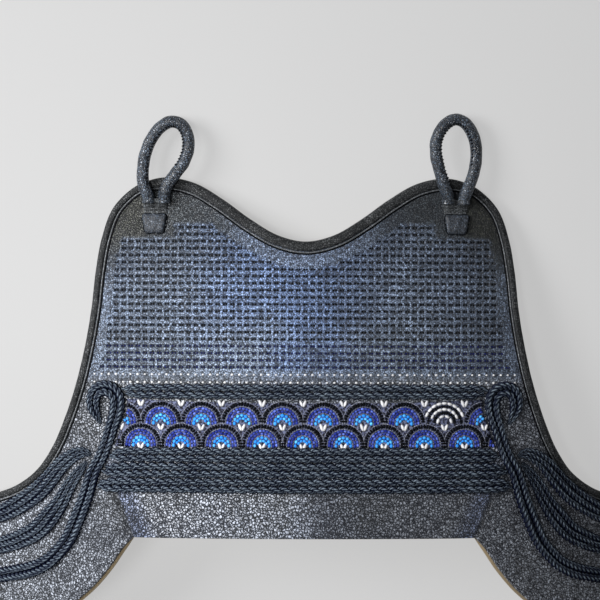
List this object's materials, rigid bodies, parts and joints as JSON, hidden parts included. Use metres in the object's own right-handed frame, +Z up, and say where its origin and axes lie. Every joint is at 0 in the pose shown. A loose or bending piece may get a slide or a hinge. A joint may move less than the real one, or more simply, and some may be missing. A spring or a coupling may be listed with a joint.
{
  "type": "kendo do chest panel",
  "caption": "Stiff leather chest panel of a kendo body protector, with bound edge, cord loops, wave band and sewn cord rows on its wings.",
  "frame": {"origin": "on the surface that the panel lies on, under the middle of its box", "axes": "+X to the right along the wings, +Y from the waist edge to the neck, +Z up, out of the panel's front"},
  "size_m": [0.5746, 0.4316, 0.0911],
  "materials": {
    "panel_leather": "grained indigo-black leather",
    "binding_leather": "smooth black leather",
    "loop_leather": "rolled black leather",
    "lining_leather": "raw beige leather",
    "cord_cotton": "twisted dark indigo cotton cord",
    "wave_thread": "indigo, blue and white embroidery"
  },
  "bodies": {
    "root": {"chest_panel": "panel_leather", "back_lining": "lining_leather", "edge_binding": "binding_leather", "upper_cord_band": "cord_cotton", "lower_cord_band_1": "cord_cotton", "lower_cord_band_2": "cord_cotton", "lower_cord_band_3": "cord_cotton", "wave_band": "wave_thread", "cloud_cord_right": "cord_cotton", "cloud_cord_left": "cord_cotton", "wing_cord_middle_right": "cord_cotton", "wing_cord_middle_left": "cord_cotton", "wing_cord_outer_right": "cord_cotton", "wing_cord_outer_left": "cord_cotton", "loop_right": "loop_leather", "loop_left": "loop_leather", "loop_keeper_right": "loop_leather", "loop_keeper_left": "loop_leather"}
  },
  "joints": []
}
